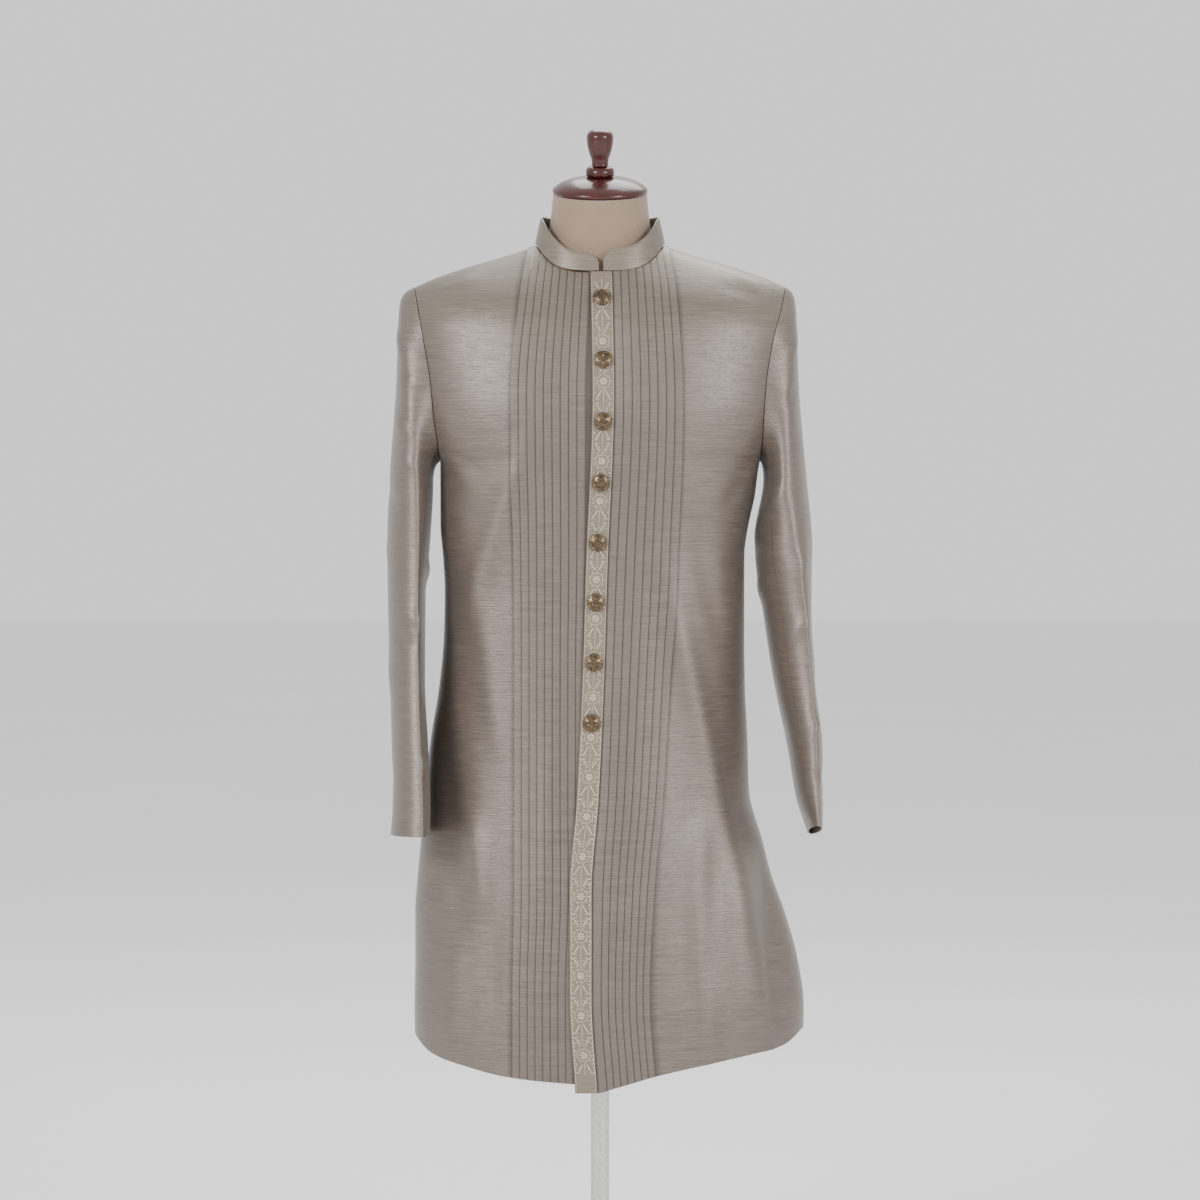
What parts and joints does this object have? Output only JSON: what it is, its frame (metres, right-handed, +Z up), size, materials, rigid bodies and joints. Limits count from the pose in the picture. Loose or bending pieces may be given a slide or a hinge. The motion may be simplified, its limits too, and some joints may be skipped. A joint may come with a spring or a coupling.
{
  "type": "sherwani coat on a dress form",
  "caption": "Long taupe silk sherwani coat with a stand collar, knife tucks, an embroidered front band and round buttons, on a limbless dress form.",
  "frame": {"origin": "centre of the underside of the round base", "axes": "+Z up; the coat's front faces -Y and the wearer's left is +X"},
  "size_m": [0.5158, 0.3124, 1.4456],
  "materials": {
    "silk": "slubbed raw silk with a soft sheen",
    "brocade": "embroidered cream and gold band",
    "bronze": "antique gold, faceted rim",
    "jersey": "matt tan jersey",
    "mahogany": "glossy mahogany stain",
    "steel": "satin"
  },
  "bodies": {
    "root": {"front_right": "silk", "front_left": "silk", "back": "silk", "sleeve_upper_right": "silk", "sleeve_under_right": "silk", "sleeve_upper_left": "silk", "sleeve_under_left": "silk", "collar": "silk", "front_band": "brocade", "button_1": "bronze", "button_2": "bronze", "button_3": "bronze", "button_4": "bronze", "button_5": "bronze", "button_6": "bronze", "button_7": "bronze", "button_8": "bronze", "form_torso": "jersey", "neck_cap": "mahogany", "cap_ring": "mahogany", "finial": "mahogany", "stand_base": "mahogany", "stand_post": "steel"}
  },
  "joints": []
}
